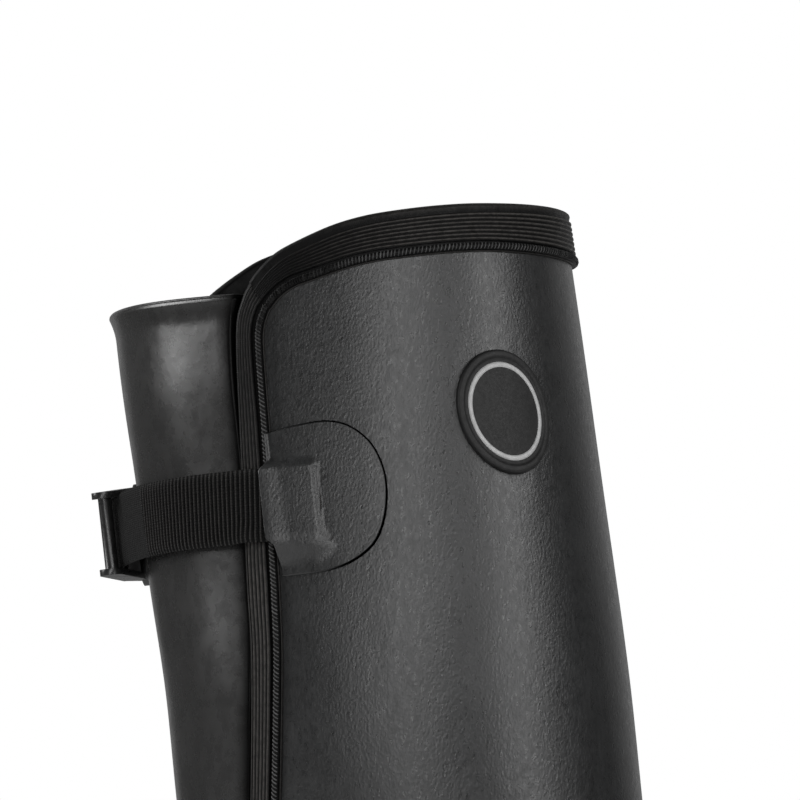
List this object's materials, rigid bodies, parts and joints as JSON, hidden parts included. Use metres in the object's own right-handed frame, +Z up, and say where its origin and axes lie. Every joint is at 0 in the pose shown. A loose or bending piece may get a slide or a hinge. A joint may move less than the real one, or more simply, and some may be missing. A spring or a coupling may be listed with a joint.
{
  "type": "wellington boot",
  "caption": "Right-foot calf-high rubber and neoprene wellington boot with a calf gusset, a buckled webbing strap across it, a ribbed collar binding and a lugged rubber sole.",
  "frame": {"origin": "on the floor, under the middle of the heel", "axes": "+X to the toe, +Y to the inner side of the foot, +Z up"},
  "size_m": [0.3205, 0.1312, 0.3903],
  "materials": {
    "skin_rubber": "semi-matte with a fine grain",
    "gusset_rubber": "smooth, semi-gloss",
    "binding_tape": "ribbed woven tape",
    "webbing": "woven",
    "buckle_plastic": "moulded",
    "sole_rubber": "matte moulded",
    "insole_foam": "cloth over foam",
    "badge_rubber": "smooth moulded"
  },
  "bodies": {
    "root": {"upper": "skin_rubber", "gusset": "gusset_rubber", "binding": "binding_tape", "patch_front": "skin_rubber", "patch_rear": "skin_rubber", "strap_front": "webbing", "strap_rear": "webbing", "buckle_plug": "buckle_plastic", "buckle_socket": "buckle_plastic", "badge": "badge_rubber", "outsole": "sole_rubber", "insole": "insole_foam"}
  },
  "joints": []
}
